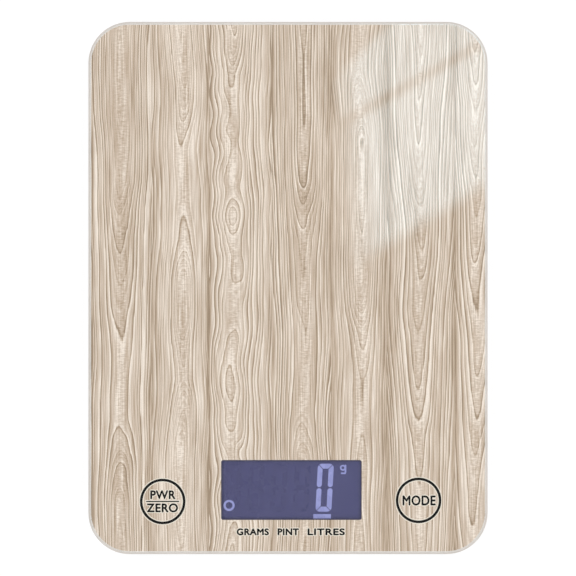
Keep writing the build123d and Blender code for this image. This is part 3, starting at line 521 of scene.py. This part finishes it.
def flatRing(bm, centre, outer, inner, low, high, sides=96):
    edges = []
    for radius in (outer, inner):
        verts = bmesh.ops.create_circle(bm, radius=radius * mm, segments=sides)["verts"]
        bmesh.ops.translate(bm, vec=(centre[0] * mm, centre[1] * mm, 0), verts=verts)
        edges += {e for v in verts for e in v.link_edges}
    raiseFaces(bm, bmesh.ops.bridge_loops(bm, edges=edges)["faces"], low, high)


# lower left and upper right corner of a box, from photo pixels
def boxCorners(spanX, spanY):
    return *fromPhoto(spanX[0], spanY[1]), *fromPhoto(spanX[1], spanY[0])


def boxPoints(spanX, spanY, grow=0.0):
    x0, y0, x1, y1 = boxCorners(spanX, spanY)
    return [(x0 - grow, y0 - grow), (x1 + grow, y0 - grow), (x1 + grow, y1 + grow), (x0 - grow, y1 + grow)]


# a word stretched to fill a box, as copies set in a circle so that it comes out bolder
def flatWord(bm, text, spanX, spanY, low, high, bolder):
    font = bpy.data.curves.new("word", "FONT")
    font.body = text
    font.space_character = ink["spacing"]
    obj = bpy.data.objects.new("word", font)
    scene.collection.objects.link(obj)
    mesh = bpy.data.meshes.new_from_object(obj.evaluated_get(bpy.context.evaluated_depsgraph_get()))
    x0, y0, x1, y1 = boxCorners(spanX, spanY)
    left, right = min(v.co.x for v in mesh.vertices), max(v.co.x for v in mesh.vertices)
    down, up = min(v.co.y for v in mesh.vertices), max(v.co.y for v in mesh.vertices)
    for v in mesh.vertices:
        v.co.x = (x0 + (v.co.x - left) / (right - left) * (x1 - x0)) * mm
        v.co.y = (y0 + (v.co.y - down) / (up - down) * (y1 - y0)) * mm
    for i in range(ink["copies"]):
        turn = math.tau * i / ink["copies"]
        before = set(bm.faces)
        bm.from_mesh(mesh)
        faces = [f for f in bm.faces if f not in before]
        verts = list({v for f in faces for v in f.verts})
        offset = (bolder * math.cos(turn) * mm, bolder * math.sin(turn) * mm, 0)
        bmesh.ops.translate(bm, vec=offset, verts=verts)
        raiseFaces(bm, faces, low, high + hair * i)
    bpy.data.objects.remove(obj)
    bpy.data.meshes.remove(mesh)


def inkLayer(name, span, grow, look):
    bm = bmesh.new()
    outer = ink["ringOuter"] / pxPerMm
    inner = (ink["ringOuter"] - ink["ringStroke"]) / pxPerMm
    for px, py in ink["rings"]:
        flatRing(bm, fromPhoto(px, py), outer + grow, inner - grow, *span)
    flatShape(bm, boxPoints(*ink["rule"], grow), *span)
    for text, spanX, spanY in ink["words"]:
        flatWord(bm, text, spanX, spanY, *span, grow + ink["weight"])
    addPiece(name, bm, madeSurface(look))


inkLayer("keyPrintOutline", ink["halo"], ink["outline"], ink["haloLook"])
inkLayer("keyPrintBlack", ink["black"], 0.0, ink["blackLook"])
print("key and legend print done")

# display: dark slate-violet ground, pale lit segments, faint unlit ones
# heights in mm, the rest in photo pixels
display = {
    "ghost": (14.505, 14.51), "lit": (14.52, 14.53),
    "digit": {"right": 334.0, "top": 464.0, "bottom": 512.0, "width": 16.0, "stroke": 5.0, "slant": 2.6,
              "gap": 0.45, "split": 0.65, "round": 3.7, "bevel": (0.28, 0.3), "pitch": 23.0, "places": 5},
    "unit": {"bowl": (343.0, 468.1), "outer": 2.95, "stroke": 1.55, "sides": 32,
             "stem": ((344.7, 346.4), (465.1, 472.9)), "hook": ((341.0, 345.8), (472.8, 474.4))},
    "bar": ((313.4, 331.0), (514.5, 519.0)),
    "mark": {"centre": (229.0, 505.8), "outer": 5.6, "stroke": 2.2, "sides": 48},
    # mm: how far it reaches over the window's edge and into the window, and its outer and inner corners
    "border": {"z": (15.405, 15.41), "out": 0.1, "in": 0.34, "corners": (0.8, 0.45), "steps": 6},
    # liquid crystal ground lit from behind, barely mottled; its glow stands for that back light and also
    # lifts the shade of the recess under the film window, which is painted light
    "groundLook": {"name": "lcdGroundBacklitWithPaintedLift", "dark": "#40406B", "light": "#41416D", "grain": 25.0,
                   "rough": (0.25, 0.3), "glow": 0.1},
    # segments that let the back light through
    "litLook": {"name": "lcdSegmentLit", "dark": "#8387BC", "light": "#898CC2", "grain": 4.0,
                "rough": (0.25, 0.3), "glow": 0.25},
    # segments switched off, a shade under the ground
    "ghostLook": {"name": "lcdSegmentUnlit", "dark": "#3E3E68", "light": "#3F3F6A", "grain": 4.0,
                  "rough": (0.25, 0.3), "glow": 0.1},
    # dark printed edge round the window
    "borderLook": {"name": "slateInkScreenPrinted", "dark": "#46445A", "light": "#4B4960",
                   "grain": 0.5, "relief": 0.001, "rough": (0.5, 0.6), "sheen": 0.0},
}


# one segment of an upright digit, from its upper left corner
def segmentPoints(which):
    d = display["digit"]
    w, h, s, g, r = d["width"], d["bottom"] - d["top"], d["stroke"], d["gap"], d["round"]
    half = h / 2
    if which == "middle":
        return [(s / 2 + g, half), (s + g, half - s / 2), (w - s - g, half - s / 2),
                (w - s / 2 - g, half), (w - s - g, half + s / 2), (s + g, half + s / 2)]
    turns = [math.radians(a) for a in (0, 22.5, 45)]
    arc = [(r * (1 - math.sin(a)), r * (1 - math.cos(a))) for a in turns]
    if which in ("top", "bottom"):
        left = [(x + g, y) for x, y in arc] + [(s + g, s)]
        shape = left + [(w - x, y) for x, y in reversed(left)]
        return shape if which == "top" else [(x, h - y) for x, y in shape]
    end = half - d["split"]
    cutX, cutY = (s * share for share in d["bevel"])
    shape = [(y, x + g) for x, y in arc]
    shape += [(s, s + g), (s, end - cutY), (s - cutX, end), (cutX, end), (0, end - cutY)]
    if which.startswith("lower"):
        shape = [(x, h - y) for x, y in shape]
    return shape if which.endswith("left") else [(w - x, y) for x, y in shape]


def digitShapes(bm, shift, names, span):
    d = display["digit"]
    h = d["bottom"] - d["top"]
    for name in names:
        points = []
        for x, y in segmentPoints(name):
            px = d["right"] - d["slant"] - d["width"] + x - shift + d["slant"] * (h - y) / h
            points.append(fromPhoto(px, d["top"] + y))
        flatShape(bm, points, *span)


def displayFace():
    dress(nodes["display_glass"], madeSurface(display["groundLook"]))
    outerSegments = ["top", "bottom", "upper left", "upper right", "lower left", "lower right"]
    digit, unit, mark = display["digit"], display["unit"], display["mark"]
    bm = bmesh.new()
    for place in range(1, digit["places"]):
        digitShapes(bm, place * digit["pitch"], outerSegments + ["middle"], display["ghost"])
    digitShapes(bm, 0, ["middle"], display["ghost"])
    addPiece("segmentsUnlit", bm, madeSurface(display["ghostLook"]))
    bm = bmesh.new()
    low, high = display["lit"]
    digitShapes(bm, 0, outerSegments, display["lit"])
    for ring, centre in ((unit, unit["bowl"]), (mark, mark["centre"])):
        outer, inner = ring["outer"] / pxPerMm, (ring["outer"] - ring["stroke"]) / pxPerMm
        flatRing(bm, fromPhoto(*centre), outer, inner, low, high, ring["sides"])
    flatShape(bm, boxPoints(*unit["stem"]), low, high + hair)
    flatShape(bm, boxPoints(*unit["hook"]), low, high + 2 * hair)
    flatShape(bm, boxPoints(*display["bar"]), low, high)
    addPiece("segmentsLit", bm, madeSurface(display["litLook"]))


def roundedBox(spanX, spanY, inset, radius, steps):
    x0, y0, x1, y1 = boxCorners(spanX, spanY)
    left, right = x0 + inset + radius, x1 - inset - radius
    down, up = y0 + inset + radius, y1 - inset - radius
    points = []
    for cx, cy, start in ((right, up, 0), (left, up, 90), (left, down, 180), (right, down, 270)):
        for i in range(steps + 1):
            a = math.radians(start + 90 * i / steps)
            points.append((cx + radius * math.cos(a), cy + radius * math.sin(a)))
    return points


def windowBorder():
    border, window = display["border"], wood["window"]
    bm = bmesh.new()
    edges = []
    for inset, radius in zip((-border["out"], border["in"]), border["corners"]):
        outline = roundedBox(window["x"], window["y"], inset, radius, border["steps"])
        ring = [bm.verts.new((x * mm, y * mm, 0)) for x, y in outline]
        edges += [bm.edges.new((v, ring[i - 1])) for i, v in enumerate(ring)]
    raiseFaces(bm, bmesh.ops.bridge_loops(bm, edges=edges)["faces"], *border["z"])
    addPiece("windowBorder", bm, madeSurface(display["borderLook"]))


displayFace()
windowBorder()
print("display done")

# finishes of the pieces that stay as modelled, with what the eye sees on each; grain and relief in mm
finishes = {
    # off-white moulded plastic, fine even spark texture, satin
    "moulded_plastic": {"name": "satinAbsSparkTextured", "dark": "#DAD8D2", "light": "#E8E6E0",
                        "grain": 0.45, "relief": 0.02, "rough": (0.42, 0.55)},
    # black closed-cell foam, matt and slightly pitted
    "foam_tape": {"name": "blackFoamTapeCut", "dark": "#161616", "light": "#242424",
                  "grain": 0.5, "relief": 0.05, "rough": (0.85, 0.95)},
    # bright zinc, a little cloudy
    "screw_steel": {"name": "zincPlatedSteelScrew", "dark": "#A9ADB1", "light": "#C6C9CC",
                    "grain": 0.6, "relief": 0.004, "rough": (0.25, 0.4), "metal": 1.0},
    # nickel strip with rolling lines along its length
    "nickel_strip": {"name": "nickelPlatedStripRolled", "dark": "#BBB7AE", "light": "#D2CFC7",
                     "grain": 0.4, "relief": 0.003, "rough": (0.22, 0.36), "metal": 1.0,
                     "stretch": (0.2, 1, 1)},
    # bright drawn wire
    "spring_wire": {"name": "nickelPlatedWireDrawn", "dark": "#B4B3AF", "light": "#CFCECB",
                    "grain": 0.3, "relief": 0.002, "rough": (0.22, 0.34), "metal": 1.0},
    # matt black epoxy with a fine grit
    "chip_resin": {"name": "chipEpoxyMoulded", "dark": "#141416", "light": "#1E1E21",
                   "grain": 0.12, "relief": 0.006, "rough": (0.55, 0.7)},
    # ivory nylon, slightly waxy
    "socket_nylon": {"name": "ivoryNylonMoulded", "dark": "#DAD5C5", "light": "#E6E2D4",
                     "grain": 0.5, "relief": 0.006, "rough": (0.38, 0.48)},
    # milky light guide with an even glow
    "light_guide": {"name": "milkyAcrylicLightGuide", "dark": "#D4D8EC", "light": "#E0E4F4",
                    "grain": 1.0, "relief": 0.004, "rough": (0.2, 0.3), "glow": 0.15},
    # pale yellow lamp resin
    "lamp_resin": {"name": "lampResinCast", "dark": "#EBD98B", "light": "#F5E6A6",
                   "grain": 0.4, "relief": 0.004, "rough": (0.2, 0.3), "glow": 0.15},
    # pink silicone strip with dark carbon lines across it
    "contact_rubber": {"name": "zebraSiliconeStripCut", "dark": "#8A5552", "light": "#DE9F9B",
                       "grain": 0.16, "relief": 0.004, "rough": (0.6, 0.7), "stretch": (1, 0.05, 0.05)},
    # near black plastic, fine texture
    "bezel_plastic": {"name": "blackAbsFineTextured", "dark": "#111114", "light": "#1B1B1F",
                      "grain": 0.25, "relief": 0.008, "rough": (0.5, 0.62)},
    # stamped spring steel brushed one way
    "flexure_steel": {"name": "springSteelStampedBrushed", "dark": "#9A9A9A", "light": "#BDBDBD",
                      "grain": 0.35, "relief": 0.004, "rough": (0.3, 0.45), "metal": 1.0,
                      "stretch": (0.08, 1, 1)},
    # soft white silicone, poured and domed
    "gauge_resin": {"name": "whiteSiliconePoured", "dark": "#DEDDD8", "light": "#ECEBE7",
                    "grain": 1.2, "relief": 0.01, "rough": (0.35, 0.45)},
    # dark grey rubber, matt with fine moulding grain
    "pad_rubber": {"name": "greyRubberMoulded", "dark": "#2A2A2C", "light": "#3A3A3C",
                   "grain": 0.3, "relief": 0.02, "rough": (0.75, 0.88)},
    # smooth extruded wire sleeve, a little uneven in tone
    "lead_sleeve": {"name": "redPvcSleeveExtruded", "dark": "#8C1A1A", "light": "#A62524",
                    "grain": 0.5, "relief": 0.004, "rough": (0.4, 0.5)},
}

# green board: glossy mask with slightly raised copper runs under it; pitch and relief in mm
board = {"mask": ("#17512B", "#1A5830"), "runs": "#23703D", "pitch": 2.4, "runShare": 0.09,
         "length": 3.0, "row": 0.9, "relief": 0.03, "rough": 0.32}


def boardSurface():
    mat, tree = newMaterial("greenSolderMaskBoard")
    place = addNode(tree, "TexCoord").outputs["Object"]
    runs = addNode(tree, "TexBrick", {
        "Vector": place, "Scale": 1 / mm / board["pitch"], "Mortar": hexColour(board["runs"]),
        "Color1": hexColour(board["mask"][0]), "Color2": hexColour(board["mask"][1]),
        "Mortar Size": board["runShare"], "Brick Width": board["length"], "Row Height": board["row"]})
    relief = addNode(tree, "Bump", {"Height": runs.outputs["Fac"], "Distance": board["relief"] * mm})
    surface = addNode(tree, "BsdfPrincipled", {
        "Base Color": runs.outputs["Color"], "Roughness": board["rough"], "Normal": relief.outputs[0]})
    addNode(tree, "OutputMaterial", {"Surface": surface.outputs[0]})
    return mat


# plain cell sleeve: mid grey film with one pale line near the plus end, bright steel ends
cell = {
    "plusSide": {"battery_front": -1, "battery_rear": 1},
    "bands": [(0, "#C4C6C8"), (0.025, "#71777C"), (0.16, "#D9D6CF"), (0.185, "#71777C")],
    "end": "#C4C6C8",
    "endFacing": 0.9,       # a face whose normal lies more than this along the cell is an end
    "grain": 1.5, "rough": (0.28, 0.4), "metal": 0.5,
}


def cellSleeve(node):
    low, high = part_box(node)
    mat, tree = newMaterial("cellSleevePrinted" + node.split("_")[1].capitalize())
    here = addNode(tree, "TexCoord").outputs["Object"]
    place = addNode(tree, "SeparateXYZ", {0: here})
    plus, minus = (high.x, low.x) if cell["plusSide"][node] > 0 else (low.x, high.x)
    along = addNode(tree, "MapRange", {"Value": place.outputs["X"], "From Min": plus, "From Max": minus})
    bands = addNode(tree, "ValToRGB", {"Fac": along.outputs[0]})
    bands.color_ramp.interpolation = "CONSTANT"
    setStops(bands, cell["bands"])
    scale = 1 / (cell["grain"] * mm)
    grain = addNode(tree, "TexNoise", {"Vector": here, "Scale": scale, "Detail": 2.0}).outputs["Fac"]
    smoothest, roughest = cell["rough"]
    rough = addNode(tree, "MapRange", {"Value": grain, "To Min": smoothest, "To Max": roughest})
    facing = addNode(tree, "SeparateXYZ", {0: addNode(tree, "NewGeometry").outputs["True Normal"]})
    endwise = addNode(tree, "Math", {0: facing.outputs["X"]}, operation="ABSOLUTE")
    isEnd = addNode(tree, "Math", {0: endwise.outputs[0], 1: cell["endFacing"]}, operation="GREATER_THAN")
    mixed = {"Factor": isEnd.outputs[0], 6: bands.outputs[0], 7: hexColour(cell["end"])}
    colour = addNode(tree, "Mix", mixed, data_type="RGBA")
    surface = addNode(tree, "BsdfPrincipled", {
        "Base Color": colour.outputs[2], "Metallic": cell["metal"], "Roughness": rough.outputs[0]})
    addNode(tree, "OutputMaterial", {"Surface": surface.outputs[0]})
    return mat


slotOf = {part["node"]: part["material_slot"] for part in frame["record"]["subparts"]}
made = {}
special = {"glass_platform", "print_film", "display_glass", "main_board", *cell["plusSide"]}
for name, obj in nodes.items():
    if name in special:
        continue
    slotName = slotOf[name]
    if slotName not in made:
        made[slotName] = madeSurface(finishes[slotName])
    dress(obj, made[slotName])
dress(nodes["main_board"], boardSurface())
for name in cell["plusSide"]:
    dress(nodes[name], cellSleeve(name))
print("finishes on", len(nodes), "nodes")

# world and lamps: soft white light from four sides, none of it mirrored in the glass from above; in m and W
light = {"world": 0.45, "lampSize": 0.8, "lampPower": 6.3, "lampAt": (0.75, 0.6, 1.45),
         "underPower": 4.0, "underAt": (0, 0, -1.2)}
world = bpy.data.worlds.new("studio")
scene.world = world
world.use_nodes = True
tree = world.node_tree
tree.nodes.clear()
sky = addNode(tree, "Background", {"Color": (1, 1, 1, 1), "Strength": light["world"]})
addNode(tree, "OutputWorld", {"Surface": sky.outputs[0]})
sides = [(x, y, 1) for x in (-1, 1) for y in (-1, 1)]
places = [(Vector(light["lampAt"]) * Vector(side), light["lampPower"]) for side in sides]
places.append((Vector(light["underAt"]), light["underPower"]))         # reaches the underside only
for place, power in places:
    lampData = bpy.data.lights.new("softLamp", "AREA")
    lampData.size = light["lampSize"]
    lampData.energy = power
    lamp = bpy.data.objects.new("softLamp", lampData)
    lamp.location = place
    lamp.rotation_euler = (-place).to_track_quat("-Z", "Y").to_euler()
    lamp.visible_camera = False
    scene.collection.objects.link(lamp)

# dark card overhead with a window in it, seen only as a reflection: elsewhere the glass stays clear
card = {
    "height": 0.5, "half": 0.45, "strength": 5.0, "base": 0.02, "colour": "#D0F0FF",
    # edge lines in photo pixels, light on the left of each line's direction, and how soft they are in mm
    "edges": [((384, 30), (344, 70), 3.0), ((344, 70), (368, 256), 9.0), ((368, 256), (486, 184), 4.0)],
    # bar across the window: its line, how wide and how soft it is in mm, how much light it lets by
    "bar": ((356, 115), (471, 50), 3.8, 2.0, 0.35),
}


def lightCard():
    spread = 1 + card["height"] / (cam.location.z - glassTop)
    mat, tree = newMaterial("windowCard")
    place = addNode(tree, "TexCoord").outputs["Object"]
    toGlass = 1 / mm / spread
    onGlass = addNode(tree, "Mapping", {"Vector": place, "Scale": (toGlass, toGlass, 1)}).outputs[0]

    # distance across a line, and where the line itself is
    def across(start, end):
        (x0, y0), (x1, y1) = fromPhoto(*start), fromPhoto(*end)
        length = math.hypot(x1 - x0, y1 - y0)
        normal = (-(y1 - y0) / length, (x1 - x0) / length, 0)
        measure = addNode(tree, "VectorMath", {0: onGlass, 1: normal}, operation="DOT_PRODUCT")
        return measure.outputs["Value"], normal[0] * x0 + normal[1] * y0

    glow = 1.0
    for start, end, soft in card["edges"]:
        value, base = across(start, end)
        step = addNode(tree, "MapRange", {"Value": value, "From Min": base - soft, "From Max": base + soft},
                       interpolation_type="SMOOTHSTEP").outputs[0]
        glow = addNode(tree, "Math", {0: glow, 1: step}, operation="MULTIPLY").outputs[0]
    start, end, wide, soft, left = card["bar"]
    value, base = across(start, end)
    aside = addNode(tree, "Math", {0: value, 1: base}, operation="SUBTRACT")
    away = addNode(tree, "Math", {0: aside.outputs[0]}, operation="ABSOLUTE").outputs[0]
    gap = addNode(tree, "MapRange", {
        "Value": away, "From Min": wide / 2 - soft, "From Max": wide / 2 + soft, "To Min": left},
        interpolation_type="SMOOTHSTEP")
    barred = addNode(tree, "Math", {0: glow, 1: gap.outputs[0]}, operation="MULTIPLY").outputs[0]
    level = addNode(tree, "Math", {0: barred, 1: card["strength"], 2: card["base"]}, operation="MULTIPLY_ADD")
    shine = addNode(tree, "Emission", {"Color": hexColour(card["colour"]), "Strength": level.outputs[0]})
    addNode(tree, "OutputMaterial", {"Surface": shine.outputs[0]})
    bm = bmesh.new()
    bmesh.ops.create_grid(bm, x_segments=1, y_segments=1, size=card["half"])
    bmesh.ops.translate(bm, vec=(0, 0, glassTop + card["height"]), verts=bm.verts[:])
    obj = addObject("windowCard", bm, mat)
    obj.visible_camera = obj.visible_diffuse = obj.visible_transmission = obj.visible_shadow = False


# paper floor: white behind the part, with the part's own shadow
paper = {
    "half": 40, "colour": (0.9, 0.9, 0.9, 1), "glow": 1.06,
    "seen": 0.8,            # share of the glow where the paper is seen
    "through": -0.7,        # and its change through glass, where more of the shaded paper shows
}


def paperFloor():
    mat, tree = newMaterial("paperFloor")
    shaded = addNode(tree, "BsdfDiffuse", {"Color": paper["colour"]})
    glow = addNode(tree, "Emission", {"Color": (1, 1, 1, 1), "Strength": paper["glow"]})
    path = addNode(tree, "LightPath").outputs
    seen = addNode(tree, "Math", {0: path["Is Camera Ray"], 1: path["Is Glossy Ray"]}, operation="MAXIMUM")
    direct = addNode(tree, "Math", {0: seen.outputs[0], 1: paper["seen"]}, operation="MULTIPLY")
    share = addNode(tree, "Math", {0: path["Is Transmission Ray"], 1: paper["through"], 2: direct.outputs[0]},
                    operation="MULTIPLY_ADD")
    mix = addNode(tree, "MixShader", {0: share.outputs[0], 1: shaded.outputs[0], 2: glow.outputs[0]})
    # seen from below the paper is not there, so the underside can be looked at
    under = addNode(tree, "NewGeometry").outputs["Backfacing"]
    below = addNode(tree, "Math", {0: under, 1: path["Is Shadow Ray"]}, operation="MAXIMUM")
    gone = addNode(tree, "BsdfTransparent")
    sheet = addNode(tree, "MixShader", {0: below.outputs[0], 1: mix.outputs[0], 2: gone.outputs[0]})
    addNode(tree, "OutputMaterial", {"Surface": sheet.outputs[0]})
    bm = bmesh.new()
    bmesh.ops.create_grid(bm, x_segments=1, y_segments=1, size=paper["half"])
    floor = addObject("floor", bm, mat)


lightCard()
paperFloor()
scene.view_settings.view_transform = "Standard"
print("light and floor done")
